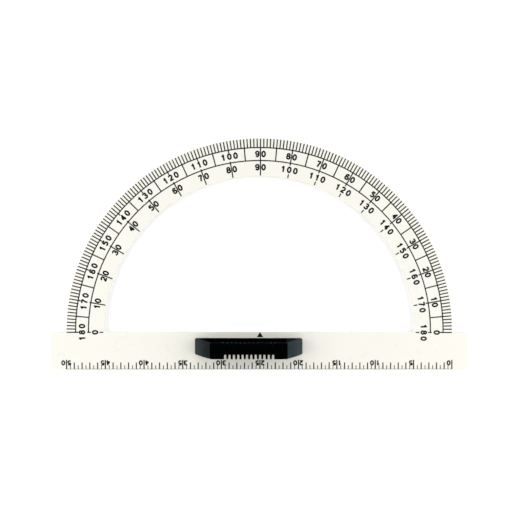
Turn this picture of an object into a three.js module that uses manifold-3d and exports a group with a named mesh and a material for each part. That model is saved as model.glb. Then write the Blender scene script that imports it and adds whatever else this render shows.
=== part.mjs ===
// A 50 cm whiteboard protractor: a half-ring degree scale and a ruler bar cut from one sheet, a
// grip screwed on from behind, and disc magnets let into the back. Millimetres, lying on its back
// with +Z up. The origin is the centre of the degree scale, on the sheet's rear face.
import * as THREE from 'three';
import { mergeVertices } from 'three/addons/utils/BufferGeometryUtils.js';
import Module from 'manifold-3d';

const wasm = await Module();
wasm.setup();

// Scale plate
const PLATE_THICKNESS = 4;
const RING_OUTER_RADIUS = 250;
const RING_INNER_RADIUS = 201.4;
const BAR_LENGTH = 540;
const BAR_HEIGHT = 48;
const BAR_CORNER_RADIUS = 2;
const WINDOW_CORNER_RADIUS = 3;
const WINDOW_LEDGE = 0.5; // the bar's top edge carries half of the printed base line
const RING_STEPS = 120;

// Printed scales
const INK_THICKNESS = 0.08;
const TICK_WIDTH = 1.45;
const TICK_OUTER_RADIUS = 249.4;
const UPPER_CIRCLE_RADIUS = 238;
const LOWER_CIRCLE_RADIUS = 221.5;
const CIRCLE_WIDTH = 1.45;
const CIRCLE_STEPS = 72;
const CELL_LINE_WIDTH = 1.5;
const TEN_DEGREE_LINE_END = 202.4;
const STUB_ABOVE_UPPER_ROW = 234.3; // a line stops here above a label whose middle digit is on it
const STUB_BELOW_UPPER_ROW = 223.2;
const STUB_ABOVE_LOWER_ROW = 218.4;
const RULER_LENGTH_CM = 50;
const RULER_LINE_WIDTH = 0.4;
const RULER_MARK_LENGTHS = { five: 12.2, one: 8.8, half: 5.2 };
const RULER_MARK_WIDTHS = { five: 1.5, one: 1.4, half: 0.9 };
const CENTRE_MARK_TIP = 0.45;
const CENTRE_MARK_HEIGHT = 6.7;
const CENTRE_MARK_WIDTH = 8.2;

// Grip
const GRIP_CENTRE = { x: -14.6, y: -18.05 };
const GRIP_BASE = { length: 139, width: 21.6 };
const GRIP_FRONT = { length: 96.5, width: 20.6 };
const GRIP_HEIGHT = 27;
const GRIP_FOOT_HEIGHT = 1.2;
const GRIP_CORNER_RADIUS = 2.4;
const GRIP_EDGE_RADIUS = 0.2;
const END_BULGE = 1.1; // how far the middle of a sloped end stands out from a straight slope
const END_STEPS = 6;
const CORNER_STEPS = 4;
const EDGE_STEPS = 2;
const LIP_STEPS = 2;
const WEB_HALF_WIDTH = 3.75;
const WEB_FILLET = 2;
const END_WALL = 2; // measured along the grip
const FINGER_GROOVE = { floor: 1.6, ceilingAtWeb: 21, ceilingAtTips: 25.2, ceilingAtRim: 26.6 };
const COMB_CENTRE = 0.7; // the comb sits this far along the grip from its middle
const COMB_ROOT = 3.4; // from the grip's centre line
const COMB_GAPS = 12;
const COMB_PITCH = 5.4;
const COMB_GAP = { rootWidth: 2.2, mouthWidth: 2.9, lipRadius: 0.6 };
const GAP_LEAN = 0.26; // a gap's end runs back under the cap by this much for each unit of depth
const PILOT_RADIUS = 2.1;
const PILOT_DEPTH = 13;

// Fasteners and magnets
const SCREW_SPACING = 108;
const SCREW_HEAD_RADIUS = 3.8;
const SCREW_SHANK_RADIUS = 1.9;
const SCREW_RECESS = 0.1;
const SCREW_RIM = 0.2;
const SCREW_LENGTH = 14;
const COUNTERSINK_RADIUS = 4.2;
const SCREW_HOLE_RADIUS = 2.2;
const DRIVE_SLOT = { length: 4.4, width: 0.9, depth: 1.5 };
const MAGNET_RADIUS = 6;
const MAGNET_THICKNESS = 2;
const MAGNET_RECESS = 0.1;
const MAGNET_POCKET = { radius: 6.2, depth: 2.3 };
const ROUND_SEGMENTS = 24;
const CUT_MARGIN = 1; // how far a cutter runs past the face that it opens
const FLATNESS = 0.0005;

const MATERIALS = {
  plate: { color: 0xf3f2e8, roughness: 0.35, metalness: 0 },
  ink: { color: 0x101012, roughness: 0.6, metalness: 0 },
  grip: { color: 0x0b0c0d, roughness: 0.4, metalness: 0 },
  screw: { color: 0xb9bcc0, roughness: 0.35, metalness: 1 },
  magnet: { color: 0x8f9296, roughness: 0.3, metalness: 1 },
};

// Booleans

function toSolid(geometry) {
  const bare = geometry.clone();
  bare.deleteAttribute('normal');
  bare.deleteAttribute('uv');
  const merged = mergeVertices(bare, 1e-4);
  return new wasm.Manifold(new wasm.Mesh({
    numProp: 3,
    vertProperties: new Float32Array(merged.attributes.position.array),
    triVerts: new Uint32Array(merged.index.array),
  }));
}

// Coplanar faces left by the joins are merged first, to save triangles.
function toGeometry(solid) {
  const mesh = solid.asOriginal().simplify(FLATNESS).getMesh();
  const geometry = new THREE.BufferGeometry();
  geometry.setAttribute('position', new THREE.BufferAttribute(mesh.vertProperties, 3));
  geometry.setIndex(new THREE.BufferAttribute(mesh.triVerts, 1));
  geometry.computeVertexNormals();
  return geometry;
}

function join(solids) {
  return solids.reduce((whole, solid) => whole.add(solid));
}

function cut(body, cutters) {
  return cutters.reduce((rest, cutter) => rest.subtract(cutter), body);
}

// Basic solids

// Adds a round stretch to an outline, in chords.
function addArc(outline, x, y, radius, from, to, steps) {
  for (let step = 0; step <= steps; step += 1) {
    const angle = THREE.MathUtils.lerp(from, to, step / steps);
    outline.lineTo(x + radius * Math.cos(angle), y + radius * Math.sin(angle));
  }
}

function prism(shape, bottom, top) {
  const options = { depth: top - bottom, bevelEnabled: false };
  return toSolid(new THREE.ExtrudeGeometry(shape, options).translate(0, 0, bottom));
}

function slab(width, height, x, y, bottom, top, turn = 0) {
  const box = new THREE.BoxGeometry(width, height, top - bottom);
  return toSolid(box.translate(x, y, (top + bottom) / 2).rotateZ(turn));
}

function upright(radius, x, y, bottom, top) {
  const cylinder = new THREE.CylinderGeometry(radius, radius, top - bottom, ROUND_SEGMENTS);
  return toSolid(cylinder.rotateX(Math.PI / 2).translate(x, y, (top + bottom) / 2));
}

// A solid of revolution about +Z, from [radius, height] pairs that run up from the axis and back.
function turned(profile) {
  const points = profile.map(([radius, height]) => new THREE.Vector2(radius, height));
  return toSolid(new THREE.LatheGeometry(points, ROUND_SEGMENTS).rotateX(Math.PI / 2));
}

function roundedRectangleRing({ z, centreX = 0, length, width, radius }) {
  const ring = [];
  for (let corner = 0; corner < 4; corner += 1) {
    const signX = corner === 0 || corner === 3 ? 1 : -1;
    const signY = corner < 2 ? 1 : -1;
    for (let step = 0; step <= CORNER_STEPS; step += 1) {
      const angle = (corner + step / CORNER_STEPS) * Math.PI / 2;
      ring.push([
        centreX + signX * (length / 2 - radius) + radius * Math.cos(angle),
        signY * (width / 2 - radius) + radius * Math.sin(angle),
        z,
      ]);
    }
  }
  return ring;
}

// A solid skinned over rounded rectangles, listed from the lowest to the highest.
function loft(sections) {
  const rings = sections.map(roundedRectangleRing);
  const count = rings[0].length;
  const last = (rings.length - 1) * count;
  const index = [];
  for (let i = 0; i < count; i += 1) {
    const next = (i + 1) % count;
    for (let low = 0; low < last; low += count) {
      index.push(low + i, low + next, low + count + next);
      index.push(low + i, low + count + next, low + count + i);
    }
    if (i > 0 && next > 0) {
      index.push(0, next, i);
      index.push(last, last + i, last + next);
    }
  }
  const geometry = new THREE.BufferGeometry();
  geometry.setAttribute('position', new THREE.Float32BufferAttribute(rings.flat(2), 3));
  geometry.setIndex(index);
  return toSolid(geometry);
}

// Scale plate

function plateOutline() {
  const half = BAR_LENGTH / 2;
  const r = BAR_CORNER_RADIUS;
  const outline = new THREE.Shape();
  outline.moveTo(half - r, -BAR_HEIGHT);
  addArc(outline, half - r, -BAR_HEIGHT + r, r, -Math.PI / 2, 0, CORNER_STEPS);
  addArc(outline, half - r, -r, r, 0, Math.PI / 2, CORNER_STEPS);
  addArc(outline, 0, 0, RING_OUTER_RADIUS, 0, Math.PI, RING_STEPS);
  addArc(outline, -half + r, -r, r, Math.PI / 2, Math.PI, CORNER_STEPS);
  addArc(outline, -half + r, -BAR_HEIGHT + r, r, Math.PI, 1.5 * Math.PI, CORNER_STEPS);
  return outline;
}

// The half-disc opening, its two lower corners rounded into the ring.
function windowOutline() {
  const r = WINDOW_CORNER_RADIUS;
  const cornerY = WINDOW_LEDGE + r;
  const cornerX = Math.sqrt((RING_INNER_RADIUS - r) ** 2 - cornerY ** 2);
  const tangent = Math.atan2(cornerY, cornerX);
  const opening = new THREE.Shape();
  opening.moveTo(cornerX, WINDOW_LEDGE);
  addArc(opening, cornerX, cornerY, r, -Math.PI / 2, tangent, CORNER_STEPS);
  addArc(opening, 0, 0, RING_INNER_RADIUS, tangent, Math.PI - tangent, RING_STEPS);
  addArc(opening, -cornerX, cornerY, r, Math.PI - tangent, 1.5 * Math.PI, CORNER_STEPS);
  return opening;
}

function screwPlaces() {
  return [-1, 1].map((side) => ({ x: GRIP_CENTRE.x + side * SCREW_SPACING / 2, y: GRIP_CENTRE.y }));
}

function magnetPlaces() {
  const onBar = [-245, -125, 125, 245].map((x) => ({ x, y: -BAR_HEIGHT / 2 }));
  const middle = (RING_OUTER_RADIUS + RING_INNER_RADIUS) / 2;
  const onRing = [150, 90, 30].map((degrees) => {
    const angle = THREE.MathUtils.degToRad(degrees);
    return { x: middle * Math.cos(angle), y: middle * Math.sin(angle) };
  });
  return [...onBar, ...onRing];
}

function countersunkHole({ x, y }) {
  const coneHeight = COUNTERSINK_RADIUS - SCREW_HOLE_RADIUS;
  return turned([
    [0, -CUT_MARGIN],
    [COUNTERSINK_RADIUS + CUT_MARGIN, -CUT_MARGIN],
    [SCREW_HOLE_RADIUS, coneHeight],
    [SCREW_HOLE_RADIUS, PLATE_THICKNESS + CUT_MARGIN],
    [0, PLATE_THICKNESS + CUT_MARGIN],
  ]).translate(x, y, 0);
}

function scalePlate() {
  const sheet = prism(plateOutline(), 0, PLATE_THICKNESS);
  const opening = prism(windowOutline(), -CUT_MARGIN, PLATE_THICKNESS + CUT_MARGIN);
  const pockets = magnetPlaces().map(({ x, y }) => (
    upright(MAGNET_POCKET.radius, x, y, -CUT_MARGIN, MAGNET_POCKET.depth)));
  return cut(sheet, [opening, ...pockets, ...screwPlaces().map(countersunkHole)]);
}

// Printed scales

const INK_BOTTOM = PLATE_THICKNESS;
const INK_TOP = PLATE_THICKNESS + INK_THICKNESS;

function radialLine(degrees, from, to, width) {
  const turn = THREE.MathUtils.degToRad(degrees);
  return slab(to - from, width, (from + to) / 2, 0, INK_BOTTOM, INK_TOP, turn);
}

function halfCircleLine(radius) {
  const outer = radius + CIRCLE_WIDTH / 2;
  const line = new THREE.Shape();
  line.moveTo(outer, 0);
  addArc(line, 0, 0, outer, 0, Math.PI, CIRCLE_STEPS);
  addArc(line, 0, 0, outer - CIRCLE_WIDTH, Math.PI, 0, CIRCLE_STEPS);
  return prism(line, INK_BOTTOM, INK_TOP);
}

// A ten-degree line has stubs where it would cross the middle digit of a label in either row.
function tenDegreeLine(degrees) {
  const endsOfScale = degrees % 180 === 0;
  const crossesUpperLabel = endsOfScale || degrees >= 100;
  const crossesLowerLabel = endsOfScale || degrees <= 80;
  const end = crossesLowerLabel ? STUB_ABOVE_LOWER_ROW : TEN_DEGREE_LINE_END;
  if (!crossesUpperLabel) {
    return [radialLine(degrees, end, UPPER_CIRCLE_RADIUS, CELL_LINE_WIDTH)];
  }
  return [
    radialLine(degrees, STUB_ABOVE_UPPER_ROW, UPPER_CIRCLE_RADIUS, CELL_LINE_WIDTH),
    radialLine(degrees, end, STUB_BELOW_UPPER_ROW, CELL_LINE_WIDTH),
  ];
}

function degreeScale() {
  const marks = [halfCircleLine(UPPER_CIRCLE_RADIUS), halfCircleLine(LOWER_CIRCLE_RADIUS)];
  for (let degrees = 0; degrees <= 180; degrees += 1) {
    marks.push(radialLine(degrees, UPPER_CIRCLE_RADIUS, TICK_OUTER_RADIUS, TICK_WIDTH));
    if (degrees % 10 === 0) {
      marks.push(...tenDegreeLine(degrees));
    } else if (degrees % 5 === 0) {
      marks.push(radialLine(degrees, LOWER_CIRCLE_RADIUS, UPPER_CIRCLE_RADIUS, CELL_LINE_WIDTH));
    }
  }
  return join(marks);
}

function rulerScale() {
  const edge = -BAR_HEIGHT;
  const length = RULER_LENGTH_CM * 10;
  const lineTop = edge + RULER_LINE_WIDTH;
  const marks = [slab(length, RULER_LINE_WIDTH, 0, (edge + lineTop) / 2, INK_BOTTOM, INK_TOP)];
  for (let half = 0; half <= 2 * RULER_LENGTH_CM; half += 1) {
    const kind = half % 10 === 0 ? 'five' : half % 2 === 0 ? 'one' : 'half';
    const height = RULER_MARK_LENGTHS[kind];
    const x = length / 2 - half * 5;
    marks.push(slab(RULER_MARK_WIDTHS[kind], height, x, edge + height / 2, INK_BOTTOM, INK_TOP));
  }
  return join(marks);
}

function centreMark() {
  const triangle = new THREE.Shape();
  triangle.moveTo(0, CENTRE_MARK_TIP);
  triangle.lineTo(-CENTRE_MARK_WIDTH / 2, CENTRE_MARK_TIP - CENTRE_MARK_HEIGHT);
  triangle.lineTo(CENTRE_MARK_WIDTH / 2, CENTRE_MARK_TIP - CENTRE_MARK_HEIGHT);
  return prism(triangle, INK_BOTTOM, INK_TOP);
}

// Grip, in its own frame: the origin is the middle of its underside

// The outline at a height: a low upright foot, then sloped, slightly domed ends and drafted sides.
function gripSection(z, inset = 0) {
  const rise = Math.max(0, z - GRIP_FOOT_HEIGHT) / (GRIP_HEIGHT - GRIP_FOOT_HEIGHT);
  const bulge = END_BULGE * 4 * rise * (1 - rise);
  return {
    z,
    length: THREE.MathUtils.lerp(GRIP_BASE.length, GRIP_FRONT.length, rise) + 2 * (bulge - inset),
    width: THREE.MathUtils.lerp(GRIP_BASE.width, GRIP_FRONT.width, rise) - 2 * inset,
    radius: GRIP_CORNER_RADIUS - inset,
  };
}

// Sections from the top of the foot up to a height.
function slopingSections(top) {
  return Array.from({ length: END_STEPS + 1 }, (_, step) => (
    gripSection(THREE.MathUtils.lerp(GRIP_FOOT_HEIGHT, top, step / END_STEPS))));
}

// The block without its grooves, with a rounded edge round the front face.
function gripBlock() {
  const sections = [gripSection(0), ...slopingSections(GRIP_HEIGHT - 2 * GRIP_EDGE_RADIUS)];
  for (let step = 0; step <= EDGE_STEPS; step += 1) {
    const angle = (step / EDGE_STEPS) * Math.PI / 2;
    const z = GRIP_HEIGHT - GRIP_EDGE_RADIUS * (1 - Math.sin(angle));
    sections.push(gripSection(z, GRIP_EDGE_RADIUS * (1 - Math.cos(angle))));
  }
  return loft(sections);
}

// A bar along X through a section whose points are [y, z].
function alongGrip(section, length) {
  const outline = new THREE.Shape(section.map(([y, z]) => new THREE.Vector2(y, z)));
  const bar = new THREE.ExtrudeGeometry(outline, { depth: length, bevelEnabled: false });
  const axes = new THREE.Matrix4().makeBasis(
    new THREE.Vector3(0, 1, 0), new THREE.Vector3(0, 0, 1), new THREE.Vector3(1, 0, 0));
  return toSolid(bar.applyMatrix4(axes).translate(-length / 2, 0, 0));
}

function arcPoints(y, z, radius, from, to, steps) {
  return Array.from({ length: steps + 1 }, (_, step) => {
    const angle = THREE.MathUtils.lerp(from, to, step / steps);
    return [y + radius * Math.cos(angle), z + radius * Math.sin(angle)];
  });
}

// The space under the cap on the +Y side, from the web out, and from one sloped end wall to the
// other. Its ceiling rises outwards from the web, up to the given height at the cap's rim.
function spaceUnderCap(ceilingAtRim) {
  const { floor, ceilingAtWeb } = FINGER_GROOVE;
  const r = WEB_FILLET;
  const rim = GRIP_FRONT.width / 2;
  const outside = GRIP_BASE.width / 2 + CUT_MARGIN;
  const slope = (ceilingAtRim - ceilingAtWeb) / (rim - WEB_HALF_WIDTH);
  const section = [
    [outside, floor],
    ...arcPoints(WEB_HALF_WIDTH + r, floor + r, r, 1.5 * Math.PI, Math.PI, CORNER_STEPS),
    [WEB_HALF_WIDTH, ceilingAtWeb],
    [outside, ceilingAtWeb + slope * (outside - WEB_HALF_WIDTH)],
  ];
  const betweenEnds = loft(slopingSections(GRIP_HEIGHT).map((around) => (
    { ...around, length: around.length - 2 * END_WALL, width: 2 * GRIP_BASE.width })));
  return alongGrip(section, GRIP_BASE.length).intersect(betweenEnds);
}

// The finger groove on the +Y side. The cap tapers to a thin rim beside the comb, while the
// comb's teeth keep blunt tips.
function fingerGroove() {
  const combLength = (COMB_GAPS + 1) * COMB_PITCH - COMB_GAP.mouthWidth;
  const comb = slab(combLength, 2 * GRIP_BASE.width, COMB_CENTRE, 0, 0, GRIP_HEIGHT);
  const besideComb = cut(spaceUnderCap(FINGER_GROOVE.ceilingAtRim), [comb]);
  return join([spaceUnderCap(FINGER_GROOVE.ceilingAtTips), besideComb]);
}

// One gap between the comb's teeth on the +Y side: wider at its mouth, with rounded lips, and
// leaning so that its end runs back under the cap.
function combGap(x) {
  const root = COMB_GAP.rootWidth / 2;
  const mouth = COMB_GAP.mouthWidth / 2;
  const lip = COMB_GAP.lipRadius;
  const front = GRIP_FRONT.width / 2;
  const outline = new THREE.Shape();
  outline.moveTo(x - root, COMB_ROOT);
  outline.lineTo(x + root, COMB_ROOT);
  addArc(outline, x + mouth + lip, front - lip, lip, Math.PI, Math.PI / 2, LIP_STEPS);
  outline.lineTo(x + mouth + lip, front + CUT_MARGIN);
  outline.lineTo(x - mouth - lip, front + CUT_MARGIN);
  addArc(outline, x - mouth - lip, front - lip, lip, Math.PI / 2, 0, LIP_STEPS);
  const below = GRIP_HEIGHT - FINGER_GROOVE.ceilingAtWeb;
  const options = { depth: below + CUT_MARGIN, bevelEnabled: false };
  const lean = new THREE.Matrix4().makeShear(0, 0, 0, 0, 0, GAP_LEAN);
  const gap = new THREE.ExtrudeGeometry(outline, options).translate(0, 0, -below);
  return toSolid(gap.applyMatrix4(lean).translate(0, 0, GRIP_HEIGHT));
}

function grip() {
  const cutters = [fingerGroove()];
  for (let gap = 0; gap < COMB_GAPS; gap += 1) {
    cutters.push(combGap(COMB_CENTRE + (gap - (COMB_GAPS - 1) / 2) * COMB_PITCH));
  }
  const bothSides = cutters.flatMap((cutter) => [cutter, cutter.mirror([0, 1, 0])]);
  const pilots = [-1, 1].map((side) => (
    upright(PILOT_RADIUS, side * SCREW_SPACING / 2, 0, -CUT_MARGIN, PILOT_DEPTH)));
  return cut(gripBlock(), [...bothSides, ...pilots]);
}

// Fasteners and magnets, each in its own frame: the origin is on the sheet's rear face

function gripScrew() {
  const rim = SCREW_RECESS + SCREW_RIM;
  const neck = rim + SCREW_HEAD_RADIUS - SCREW_SHANK_RADIUS;
  const tip = SCREW_RECESS + SCREW_LENGTH;
  const blank = turned([
    [0, SCREW_RECESS],
    [SCREW_HEAD_RADIUS, SCREW_RECESS],
    [SCREW_HEAD_RADIUS, rim],
    [SCREW_SHANK_RADIUS, neck],
    [SCREW_SHANK_RADIUS, tip - SCREW_SHANK_RADIUS],
    [0, tip],
  ]);
  const { length, width, depth } = DRIVE_SLOT;
  const slot = slab(length, width, 0, 0, -CUT_MARGIN, SCREW_RECESS + depth);
  const crossSlot = slab(length, width, 0, 0, -CUT_MARGIN, SCREW_RECESS + depth, Math.PI / 2);
  return cut(blank, [slot, crossSlot]);
}

function discMagnet() {
  return upright(MAGNET_RADIUS, 0, 0, MAGNET_RECESS, MAGNET_RECESS + MAGNET_THICKNESS);
}

// Assembly

const protractor = new THREE.Group();

function place(name, solid, material, { x = 0, y = 0, z = 0 } = {}) {
  const mesh = new THREE.Mesh(toGeometry(solid), new THREE.MeshStandardMaterial(MATERIALS[material]));
  mesh.name = name;
  mesh.position.set(x, y, z);
  protractor.add(mesh);
}

place('scale_plate', scalePlate(), 'plate');
place('degree_scale', degreeScale(), 'ink');
place('ruler_scale', rulerScale(), 'ink');
place('centre_mark', centreMark(), 'ink');
place('grip', grip(), 'grip', { ...GRIP_CENTRE, z: PLATE_THICKNESS });
screwPlaces().forEach((at, i) => place(`grip_screw_${i + 1}`, gripScrew(), 'screw', at));
magnetPlaces().forEach((at, i) => place(`disc_magnet_${i + 1}`, discMagnet(), 'magnet', at));

export default protractor;
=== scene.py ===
"""A large whiteboard protractor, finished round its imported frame. Metres, +Z up.

It lies on its back on a pale floor, with its printed face to the camera. The degree scale's centre
is the origin.
"""
import math

import bpy
from mathutils import Euler, Matrix, Vector
from mathutils.geometry import delaunay_2d_cdt


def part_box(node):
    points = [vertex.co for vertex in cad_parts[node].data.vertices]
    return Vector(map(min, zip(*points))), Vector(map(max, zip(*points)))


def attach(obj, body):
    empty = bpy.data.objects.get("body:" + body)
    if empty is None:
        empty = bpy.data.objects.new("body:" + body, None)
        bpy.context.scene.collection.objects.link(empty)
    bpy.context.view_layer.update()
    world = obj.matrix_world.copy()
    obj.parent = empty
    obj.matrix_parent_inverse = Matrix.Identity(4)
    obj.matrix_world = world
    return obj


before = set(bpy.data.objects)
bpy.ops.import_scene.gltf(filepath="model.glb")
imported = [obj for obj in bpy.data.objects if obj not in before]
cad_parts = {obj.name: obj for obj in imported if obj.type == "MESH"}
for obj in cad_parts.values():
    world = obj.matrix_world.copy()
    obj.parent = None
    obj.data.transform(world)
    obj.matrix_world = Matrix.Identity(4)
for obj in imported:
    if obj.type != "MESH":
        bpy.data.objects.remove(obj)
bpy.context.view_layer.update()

MM = 0.001

# Print on the plate, in millimetres and degrees
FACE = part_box("scale_plate")[1].z / MM
INK_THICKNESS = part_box("centre_mark")[1].z / MM - FACE
BAR_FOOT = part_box("scale_plate")[0].y / MM
UPPER_ROW_RADIUS = 229.8
LOWER_ROW_RADIUS = 212.9
DEGREE_DIGIT = {"height": 8.5, "width": 6.0, "stroke": 2.05}
DEGREE_DIGIT_PITCH = 8.0
RULER_DIGIT = {"height": 6.9, "width": 5.2, "stroke": 1.75}
RULER_DIGIT_CENTRE = 8.3
TENS_FROM_LINE = 3.7
ONES_FROM_LINE = {0: 4.2, 5: 3.35}
RULER_HALF_LENGTH = 250
STUB_RADII = (202.4, 207.2)
STUB_WIDTH = 1.5
STUB_ANGLES = [*range(0, 81, 10), 180]
CENTIMETRE = 10

# Merging pen strokes: a mitre's longest reach in half widths, how close points are one point, and
# the triangulation's setting for keeping only what the strokes cover
MITRE_LIMIT = 2
MERGE_DISTANCE = 1e-5
COVERED_TRIANGLES = 1

# Edges of the CAD nodes, in metres and degrees: the radius that each is rounded to. Facets that
# meet at less than FLAT_BELOW count as one face, and edges sharper than SHARP_ABOVE are rounded.
PLATE_ROUNDING = 0.0006
GRIP_ROUNDING = 0.0002
SCREW_ROUNDING = 0.00015
MAGNET_ROUNDING = 0.0002
WELD_DISTANCE = 0.00001
FLAT_BELOW = 0.4
SHARP_ABOVE = 32

# Finishes. A colour or a roughness is a pair of ends, and a noise pattern runs between them.
# A mottle is that pattern, its scale in repeats to the metre. A grain is a fine relief, its depth
# in metres. The pattern's values lie mostly in NOISE_SPAN.
NOISE_SPAN = (0.3, 0.7)
PLATE_FACE = ((0.889, 0.863, 0.780), (0.899, 0.872, 0.792))
PLATE_FACE_MOTTLE = {"scale": 14, "detail": 4}
# Side faces get a darker colour: painted shade, picked by how far the normal points up.
PLATE_PAINTED_SIDE_SHADE = ((0.70, 0.68, 0.61), (0.77, 0.745, 0.67))
PLATE_SHADE_MOTTLE = {"scale": 400}
PLATE_SHADE_TO_FACE = (0.5, 0.95)    # how far the normal points up where the painted side shade ends, face colour starts
PLATE_ROUGHNESS = (0.26, 0.38)
PLATE_ROUGHNESS_MOTTLE = {"scale": 90}
PLATE_SPECULAR = 0.4
PLATE_GRAIN = {"scale": 700, "detail": 2, "depth": 0.00002, "strength": 0.5}

INK_COLOUR = ((0.003, 0.003, 0.004), (0.008, 0.008, 0.009))
INK_MOTTLE = {"scale": 260}
INK_ROUGHNESS = (0.5, 0.68)
INK_ROUGHNESS_MOTTLE = {"scale": 900}
INK_SPECULAR = 0.15
INK_GRAIN = {"scale": 2500, "depth": 0.00001, "strength": 0.4}

GRIP_OWN_BLACK = ((0.0003, 0.0004, 0.0005), (0.0007, 0.0008, 0.0010))
# The second grip colour is a painted reflection: a lighter black laid on the sloped ends, where they
# would mirror the plate.
GRIP_PAINTED_REFLECTION = ((0.013, 0.020, 0.023), (0.018, 0.026, 0.029))
GRIP_MOTTLE = {"scale": 60}
GRIP_ROUGHNESS = (0.14, 0.2)
GRIP_ROUGHNESS_MOTTLE = {"scale": 45}
GRIP_SPECULAR = 0.085
GRIP_SPECULAR_TINT = (0.4, 1.0, 1.1, 1)
GRIP_GRAIN = {"scale": 1800, "detail": 2, "depth": 0.00003, "strength": 0.35}

METAL_MOTTLE = {"scale": 300}
ZINC_COLOUR = ((0.50, 0.51, 0.53), (0.62, 0.63, 0.64))
ZINC_ROUGHNESS = (0.24, 0.4)
ZINC_GRAIN = {"scale": 1500, "depth": 0.00002, "strength": 0.3}
NICKEL_COLOUR = ((0.52, 0.52, 0.51), (0.64, 0.64, 0.62))
NICKEL_ROUGHNESS = (0.14, 0.26)
NICKEL_GRAIN = {"scale": 900, "depth": 0.00002, "strength": 0.3}

FLOOR_COLOUR = ((0.89, 0.89, 0.89), (0.91, 0.91, 0.91))
FLOOR_MOTTLE = {"scale": 3}
FLOOR_ROUGHNESS = 0.9
FLOOR_SPECULAR = 0.1
FLOOR_GLOW = 0.18

# Painted reflection on the grip: how light it is painted at places along it, from 0 at its left end to
# 1 at its right
GRIP_ENDS = [corner.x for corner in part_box("grip")]
GRIP_PAINTED_REFLECTION_ALONG = ((0.0, 0.42), (0.13, 0.0), (0.85, 0.0), (0.855, 0.8), (1.0, 1.0))

# Camera: it looks straight down but for a small tilt, in radians
CAMERA_PLACE = (-0.0124, 0.1172, 0.6082)
CAMERA_TILT = (0.028, 0.0094, -0.0021)
CAMERA_LENS = 33.1
CAMERA_SENSOR = 36

# Lights: a white tent, and a soft box at each end of the bar. The tent's stops are pairs of height,
# from 0 at the horizon to 1 overhead, and brightness: it dims towards its foot and is open overhead.
TENT_STRENGTH = 1.41
TENT_COLOUR = (0.97, 0.99, 1.0)
TENT_STOPS = ((0.0, 0.6), (0.3, 1.0), (0.70, 1.0), (0.82, 0.003))
TENT_LEAN = (-0.04, 0.22, 0)
SOFTBOX_DISTANCE = 1.25
SOFTBOX_SIZE = (1.3, 0.9)
SOFTBOX_Y = 0.06
SOFTBOX_HEIGHT = 0.6
SOFTBOX_SLOPE = 0.35
SOFTBOX_POWER = 9

# Floor: a square, just below the plate's back
FLOOR_SIZE = 12
FLOOR_DEPTH = 0.0003


# Numerals: each is a few strokes about its own centre, in a box one unit high and one unit wide

def bend(centre, radii, start, end, steps=14):
    """Points along part of an ellipse, angles in degrees, anticlockwise if end is the larger."""
    points = []
    for i in range(steps + 1):
        angle = math.radians(start + (end - start) * i / steps)
        points.append((centre[0] + radii[0] * math.cos(angle), centre[1] + radii[1] * math.sin(angle)))
    return points


def numeral_strokes():
    """The centre lines of 0 to 9. Both axes run from -0.5 to 0.5 at the middle of a stroke."""
    tail = bend((0.02, -0.02), (0.52, 0.52), 35, 170)
    return {
        0: [bend((0, 0), (0.5, 0.5), 0, 360, 28)],
        1: [[(0.12, -0.62), (0.12, 0.62)], [(-0.42, 0.24), (0.05, 0.34), (0.12, 0.5)]],
        2: [bend((0, 0.2), (0.48, 0.3), 170, -30) + [(-0.44, -0.44)], [(-0.62, -0.5), (0.62, -0.5)]],
        3: [bend((-0.04, 0.26), (0.46, 0.24), 165, -90), bend((-0.04, -0.24), (0.54, 0.26), 90, -165),
            [(-0.2, 0.02), (0.06, 0.02)]],
        4: [[(0.3, 0.5), (-0.5, -0.2)], [(-0.6, -0.22), (0.66, -0.22)], [(0.24, -0.62), (0.24, 0.6)]],
        5: [[(0.5, 0.5), (-0.42, 0.5)], [(-0.34, 0.56), (-0.42, 0.02)],
            bend((0, -0.18), (0.5, 0.32), 145, -150)],
        6: [bend((0, -0.22), (0.5, 0.28), 0, 360, 24), tail],
        7: [[(-0.62, 0.5), (0.56, 0.5)], [(0.5, 0.5), (0.05, -0.05), (-0.14, -0.62)]],
        8: [bend((0, 0.26), (0.42, 0.24), 0, 360, 24), bend((0, -0.23), (0.5, 0.27), 0, 360, 24)],
        9: [bend((0, 0.22), (0.5, 0.28), 0, 360, 24), [(-x, -y) for x, y in tail]],
    }


def ribbon(points, width):
    """The quads of a stroke of this width along these points, mitred at the bends."""
    closed = math.dist(points[0], points[-1]) < MERGE_DISTANCE
    line = [Vector(p) for p in (points[:-1] if closed else points)]
    count = len(line)
    left, right = [], []
    for i, point in enumerate(line):
        before = line[i - 1] if closed or i > 0 else point
        after = line[(i + 1) % count] if closed or i < count - 1 else point
        into = (point - before).normalized() if point != before else (after - point).normalized()
        out = (after - point).normalized() if point != after else into
        along = (into + out).normalized()
        reach = width / 2 / max(along.dot(into), 1 / MITRE_LIMIT)
        side = Vector((-along.y, along.x)) * reach
        left.append(point + side)
        right.append(point - side)
    spans = range(count if closed else count - 1)
    return [(right[i], right[(i + 1) % count], left[(i + 1) % count], left[i]) for i in spans]


def merged(polygons):
    """Overlapping polygons as one flat shape: points, and the triangles any polygon covers."""
    points = [point for polygon in polygons for point in polygon]
    faces, start = [], 0
    for polygon in polygons:
        faces.append(list(range(start, start + len(polygon))))
        start += len(polygon)
    merge = delaunay_2d_cdt(points, [], faces, COVERED_TRIANGLES, MERGE_DISTANCE)
    flat_points, _, triangles, _, _, sources = merge
    covered = [list(t) for t, source in zip(triangles, sources) if source]
    return [Vector(p) for p in flat_points], covered


def numeral_shapes(style):
    """Each numeral's merged outline in millimetres, about its own centre."""
    stroke = style["stroke"]
    spread_x, spread_y = style["width"] - stroke, style["height"] - stroke
    shapes = {}
    for digit, strokes in numeral_strokes().items():
        polygons = []
        for line in strokes:
            polygons += ribbon([(x * spread_x, y * spread_y) for x, y in line], stroke)
        shapes[digit] = merged(polygons)
    return shapes


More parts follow.
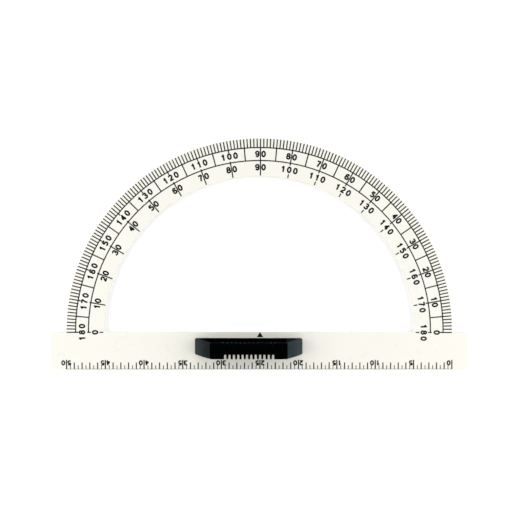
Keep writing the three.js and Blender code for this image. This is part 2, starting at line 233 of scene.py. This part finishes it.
def printed(name, shapes):
    """One ink piece from placed flat shapes, each raised off the plate with closed sides."""
    verts, faces = [], []
    for points, triangles in shapes:
        low = len(verts)
        high = low + len(points)
        verts += [(p.x * MM, p.y * MM, FACE * MM) for p in points]
        verts += [(p.x * MM, p.y * MM, (FACE + INK_THICKNESS) * MM) for p in points]
        edges = {(t[i], t[(i + 1) % 3]) for t in triangles for i in range(3)}
        faces += [[high + i for i in t] for t in triangles]
        faces += [[low + i for i in reversed(t)] for t in triangles]
        faces += [(low + a, low + b, high + b, high + a) for a, b in edges if (b, a) not in edges]
    mesh = bpy.data.meshes.new(name)
    mesh.from_pydata(verts, [], faces)
    mesh.validate()
    piece = bpy.data.objects.new(name, mesh)
    bpy.context.scene.collection.objects.link(piece)
    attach(piece, "root")
    return piece


def placed(shape, x, y, turn):
    """A flat shape turned about its own centre and moved to a place on the plate."""
    spin = Matrix.Rotation(turn, 2)
    points, triangles = shape
    return [spin @ p + Vector((x, y)) for p in points], triangles


def number_along_arc(shapes, number, degrees, radius, pitch):
    """A number centred on a scale line, reading clockwise with its tops outward."""
    digits = [int(c) for c in str(number)]
    made = []
    for i, digit in enumerate(digits):
        offset = (i - (len(digits) - 1) / 2) * pitch
        angle = math.radians(degrees) - offset / radius
        place = (radius * math.cos(angle), radius * math.sin(angle))
        made.append(placed(shapes[digit], *place, angle - math.pi / 2))
    return made


def degree_numerals():
    """Both rows of numbers, every ten degrees, counted up from opposite ends."""
    shapes = numeral_shapes(DEGREE_DIGIT)
    pitch = DEGREE_DIGIT_PITCH
    upper, lower = [], []
    for degrees in range(0, 181, 10):
        upper += number_along_arc(shapes, degrees, degrees, UPPER_ROW_RADIUS, pitch)
        lower += number_along_arc(shapes, 180 - degrees, degrees, LOWER_ROW_RADIUS, pitch)
    return [printed("degree_numerals_upper", upper), printed("degree_numerals_lower", lower)]


def scale_stubs():
    """The short ends of the lines below the lower row's three-figure numbers and its zero."""
    inner, outer = STUB_RADII
    half = STUB_WIDTH / 2
    box = [Vector(p) for p in ((inner, -half), (outer, -half), (outer, half), (inner, half))]
    shape = (box, [[0, 1, 2], [0, 2, 3]])
    stubs = [placed(shape, 0, 0, math.radians(angle)) for angle in STUB_ANGLES]
    return printed("scale_line_stubs", stubs)


def ruler_numerals():
    """Numbers every five centimetres, upside down, with the line between their two figures."""
    shapes = numeral_shapes(RULER_DIGIT)
    y = BAR_FOOT + RULER_DIGIT_CENTRE
    made = []
    for number in range(0, 51, 5):
        line = RULER_HALF_LENGTH - number * CENTIMETRE
        tens, ones = divmod(number, 10)
        made.append(placed(shapes[ones], line - ONES_FROM_LINE[ones], y, math.pi))
        if tens:
            made.append(placed(shapes[tens], line + TENS_FROM_LINE, y, math.pi))
    return printed("ruler_numerals", made)


# Materials

def new_material(name):
    material = bpy.data.materials.new(name)
    material.use_nodes = True
    nodes = material.node_tree.nodes
    return material, nodes, material.node_tree.links, nodes["Principled BSDF"]


def noise(nodes, links, scale, detail=3.0):
    """A noise pattern in the object's own metres; scale is in repeats to the metre."""
    place = nodes.new("ShaderNodeTexCoord")
    texture = nodes.new("ShaderNodeTexNoise")
    texture.inputs["Scale"].default_value = scale
    texture.inputs["Detail"].default_value = detail
    links.new(place.outputs["Object"], texture.inputs["Vector"])
    return texture.outputs["Fac"]


def ranged(nodes, links, value, span, ends=(0, 1)):
    """A value brought from this span to between these ends."""
    scaled = nodes.new("ShaderNodeMapRange")
    scaled.inputs["From Min"].default_value = span[0]
    scaled.inputs["From Max"].default_value = span[1]
    scaled.inputs["To Min"].default_value = ends[0]
    scaled.inputs["To Max"].default_value = ends[1]
    links.new(value, scaled.inputs["Value"])
    return scaled.outputs["Result"]


def ramped(nodes, links, value, stops):
    """A colour by a value, from pairs of position and colour in rising order."""
    ramp = nodes.new("ShaderNodeValToRGB")
    elements = ramp.color_ramp.elements
    while len(elements) < len(stops):
        elements.new(1.0)
    for element, (position, colour) in zip(elements, stops):
        element.position = position
        element.color = (*colour, 1)
    links.new(value, ramp.inputs["Fac"])
    return ramp.outputs["Color"]


def mixed(nodes, links, share, first, second):
    """One colour pattern where share is 0, another where it is 1."""
    mix = nodes.new("ShaderNodeMix")
    mix.data_type = "RGBA"
    links.new(share, mix.inputs["Factor"])
    links.new(first, mix.inputs["A"])
    links.new(second, mix.inputs["B"])
    return mix.outputs["Result"]


def mottled(nodes, links, colours, mottle):
    """A colour that wanders between two others, by a noise pattern."""
    return ramped(nodes, links, noise(nodes, links, **mottle), list(zip(NOISE_SPAN, colours)))


def roughened(nodes, links, shader, roughness, mottle):
    """Gives the shader a roughness that wanders between two values."""
    pattern = noise(nodes, links, **mottle)
    links.new(ranged(nodes, links, pattern, NOISE_SPAN, roughness), shader.inputs["Roughness"])


def grained(nodes, links, shader, depth, strength, **grain):
    """Gives the shader a fine relief of this depth."""
    bump = nodes.new("ShaderNodeBump")
    bump.inputs["Strength"].default_value = strength
    bump.inputs["Distance"].default_value = depth
    links.new(noise(nodes, links, **grain), bump.inputs["Height"])
    links.new(bump.outputs["Normal"], shader.inputs["Normal"])


def plate_material():
    """Cream-white sheet: a faint cloudiness in the colour and a soft gloss. Its side faces are painted
    darker, as painted shade.
    """
    material, nodes, links, shader = new_material("plate_plastic")
    geometry = nodes.new("ShaderNodeNewGeometry")
    split = nodes.new("ShaderNodeSeparateXYZ")
    level = nodes.new("ShaderNodeMath")
    level.operation = "ABSOLUTE"
    links.new(geometry.outputs["Normal"], split.inputs["Vector"])
    links.new(split.outputs["Z"], level.inputs[0])
    # Where the normal points sideways, the colour is painted darker: painted shade on the side faces.
    flatness = ranged(nodes, links, level.outputs["Value"], PLATE_SHADE_TO_FACE)
    edge = mottled(nodes, links, PLATE_PAINTED_SIDE_SHADE, PLATE_SHADE_MOTTLE)
    face = mottled(nodes, links, PLATE_FACE, PLATE_FACE_MOTTLE)
    links.new(mixed(nodes, links, flatness, edge, face), shader.inputs["Base Color"])
    shader.inputs["Specular IOR Level"].default_value = PLATE_SPECULAR
    roughened(nodes, links, shader, PLATE_ROUGHNESS, PLATE_ROUGHNESS_MOTTLE)
    grained(nodes, links, shader, **PLATE_GRAIN)
    return material


def ink_material():
    """Screen-printed black: matt, with a fine uneven film."""
    material, nodes, links, shader = new_material("printed_ink")
    links.new(mottled(nodes, links, INK_COLOUR, INK_MOTTLE), shader.inputs["Base Color"])
    shader.inputs["Specular IOR Level"].default_value = INK_SPECULAR
    roughened(nodes, links, shader, INK_ROUGHNESS, INK_ROUGHNESS_MOTTLE)
    grained(nodes, links, shader, **INK_GRAIN)
    return material


def grip_material():
    """Black moulding with a fine spark-eroded grain. Its sloped ends are painted lighter, a painted
    reflection of the plate: a little at the left end, more at the right.
    """
    material, nodes, links, shader = new_material("grip_plastic")
    place = nodes.new("ShaderNodeTexCoord")
    split = nodes.new("ShaderNodeSeparateXYZ")
    links.new(place.outputs["Object"], split.inputs["Vector"])
    along = ranged(nodes, links, split.outputs["X"], GRIP_ENDS)
    # The ends are painted lighter along the grip's length: a painted reflection of the plate, not a
    # change of finish.
    reflection_share = ramped(nodes, links, along, [(position, [dullness] * 3) for position, dullness in GRIP_PAINTED_REFLECTION_ALONG])
    own_black = mottled(nodes, links, GRIP_OWN_BLACK, GRIP_MOTTLE)
    painted_reflection = mottled(nodes, links, GRIP_PAINTED_REFLECTION, GRIP_MOTTLE)
    links.new(mixed(nodes, links, reflection_share, own_black, painted_reflection), shader.inputs["Base Color"])
    shader.inputs["Specular IOR Level"].default_value = GRIP_SPECULAR
    shader.inputs["Specular Tint"].default_value = GRIP_SPECULAR_TINT
    roughened(nodes, links, shader, GRIP_ROUGHNESS, GRIP_ROUGHNESS_MOTTLE)
    grained(nodes, links, shader, **GRIP_GRAIN)
    return material


def metal_material(name, colours, roughness, grain):
    """Plated steel with a faint mottling and fine surface grain."""
    material, nodes, links, shader = new_material(name)
    shader.inputs["Metallic"].default_value = 1.0
    links.new(mottled(nodes, links, colours, METAL_MOTTLE), shader.inputs["Base Color"])
    roughened(nodes, links, shader, roughness, {"scale": grain["scale"]})
    grained(nodes, links, shader, **grain)
    return material


def floor_material():
    """Pale paper that glows a little, as an evenly lit background does."""
    material, nodes, links, shader = new_material("pale_floor")
    links.new(mottled(nodes, links, FLOOR_COLOUR, FLOOR_MOTTLE), shader.inputs["Base Color"])
    shader.inputs["Roughness"].default_value = FLOOR_ROUGHNESS
    shader.inputs["Specular IOR Level"].default_value = FLOOR_SPECULAR
    shader.inputs["Emission Color"].default_value = (1, 1, 1, 1)
    shader.inputs["Emission Strength"].default_value = FLOOR_GLOW
    return material


# Finish on the CAD nodes

def smooth_normals_group():
    """Nodes for a modifier that sets aside a mesh's flat shading, so that its bevels shade round."""
    group = bpy.data.node_groups.new("smooth_normals", "GeometryNodeTree")
    group.interface.new_socket("Geometry", in_out="INPUT", socket_type="NodeSocketGeometry")
    group.interface.new_socket("Geometry", in_out="OUTPUT", socket_type="NodeSocketGeometry")
    given = group.nodes.new("NodeGroupInput")
    made = group.nodes.new("NodeGroupOutput")
    normals = group.nodes.new("GeometryNodeSetMeshNormal")
    normals.mode = "SHARPNESS"
    normals.inputs["Remove Custom"].default_value = True
    normals.inputs["Edge Sharpness"].default_value = False
    normals.inputs["Face Sharpness"].default_value = False
    group.links.new(given.outputs["Geometry"], normals.inputs["Mesh"])
    group.links.new(normals.outputs["Mesh"], made.inputs["Geometry"])
    return group


def paint(node, material):
    """Gives a CAD node its material."""
    for material_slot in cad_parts[node].material_slots:
        material_slot.material = material


def round_edges(node, normals, radius, steps=3):
    """Rounds a CAD node's sharp edges by this radius, with modifiers only."""
    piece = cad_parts[node]
    smooth = piece.modifiers.new("smooth_normals", "NODES")
    smooth.node_group = normals
    weld = piece.modifiers.new("weld", "WELD")
    weld.merge_threshold = WELD_DISTANCE
    flat = piece.modifiers.new("flat_faces", "DECIMATE")
    flat.decimate_type = "DISSOLVE"
    flat.angle_limit = math.radians(FLAT_BELOW)
    bevel = piece.modifiers.new("rounded_edges", "BEVEL")
    bevel.width = radius
    bevel.segments = steps
    bevel.limit_method = "ANGLE"
    bevel.angle_limit = math.radians(SHARP_ABOVE)
    bevel.harden_normals = True
    piece.modifiers.new("even_shading", "WEIGHTED_NORMAL")


def dress_frame():
    """Finishes every CAD node, and adds the printed numerals."""
    ink = ink_material()
    zinc = metal_material("zinc_plate", ZINC_COLOUR, ZINC_ROUGHNESS, ZINC_GRAIN)
    nickel = metal_material("nickel_plate", NICKEL_COLOUR, NICKEL_ROUGHNESS, NICKEL_GRAIN)
    normals = smooth_normals_group()
    paint("scale_plate", plate_material())
    round_edges("scale_plate", normals, PLATE_ROUNDING)
    paint("grip", grip_material())
    round_edges("grip", normals, GRIP_ROUNDING)
    for node in ("degree_scale", "ruler_scale", "centre_mark"):
        paint(node, ink)
    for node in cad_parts:
        if node.startswith("grip_screw"):
            paint(node, zinc)
            round_edges(node, normals, SCREW_ROUNDING, steps=2)
        if node.startswith("disc_magnet"):
            paint(node, nickel)
            round_edges(node, normals, MAGNET_ROUNDING, steps=2)
    for piece in [*degree_numerals(), scale_stubs(), ruler_numerals()]:
        piece.data.materials.append(ink)


# Studio

def make_floor():
    mesh = bpy.data.meshes.new("floor")
    half = FLOOR_SIZE / 2
    corners = [(-half, -half), (half, -half), (half, half), (-half, half)]
    mesh.from_pydata([(x, y, -FLOOR_DEPTH) for x, y in corners], [], [(0, 1, 2, 3)])
    mesh.materials.append(floor_material())
    floor = bpy.data.objects.new("floor", mesh)
    bpy.context.scene.collection.objects.link(floor)


def make_softbox(side):
    """A soft box off the bar's left end, side -1, or its right end, side 1, facing the bar."""
    light = bpy.data.lights.new("softbox", "AREA")
    light.shape = "RECTANGLE"
    light.size, light.size_y = SOFTBOX_SIZE
    light.energy = SOFTBOX_POWER
    softbox = bpy.data.objects.new("softbox", light)
    softbox.location = (side * SOFTBOX_DISTANCE, SOFTBOX_Y, SOFTBOX_HEIGHT)
    softbox.rotation_euler = Vector((side, 0, SOFTBOX_SLOPE)).to_track_quat("Z", "Y").to_euler()
    bpy.context.scene.collection.objects.link(softbox)


def make_world():
    """A white tent round the table, brighter to one side, with a dark opening over the camera."""
    world = bpy.data.worlds.new("tent")
    world.use_nodes = True
    nodes, links = world.node_tree.nodes, world.node_tree.links
    place = nodes.new("ShaderNodeTexCoord")
    split = nodes.new("ShaderNodeSeparateXYZ")
    links.new(place.outputs["Generated"], split.inputs["Vector"])
    stops = [(height, [brightness * tone for tone in TENT_COLOUR]) for height, brightness in TENT_STOPS]
    colour = ramped(nodes, links, split.outputs["Z"], stops)
    lean = nodes.new("ShaderNodeVectorMath")
    lean.operation = "DOT_PRODUCT"
    lean.inputs[1].default_value = TENT_LEAN
    links.new(place.outputs["Generated"], lean.inputs[0])
    level = nodes.new("ShaderNodeMath")
    level.operation = "MULTIPLY_ADD"
    level.inputs[1].default_value = TENT_STRENGTH
    level.inputs[2].default_value = TENT_STRENGTH
    links.new(lean.outputs["Value"], level.inputs[0])
    links.new(colour, nodes["Background"].inputs["Color"])
    links.new(level.outputs["Value"], nodes["Background"].inputs["Strength"])
    bpy.context.scene.world = world
    bpy.context.scene.view_settings.view_transform = "Standard"


def make_camera():
    data = bpy.data.cameras.new("camera")
    data.lens = CAMERA_LENS
    data.sensor_width = CAMERA_SENSOR
    camera = bpy.data.objects.new("camera", data)
    turn = Euler(CAMERA_TILT, "XYZ").to_matrix().transposed().to_4x4()
    camera.matrix_world = Matrix.Translation(CAMERA_PLACE) @ turn
    bpy.context.scene.collection.objects.link(camera)
    bpy.context.scene.camera = camera


make_camera()
dress_frame()
make_floor()
make_softbox(-1)
make_softbox(1)
make_world()
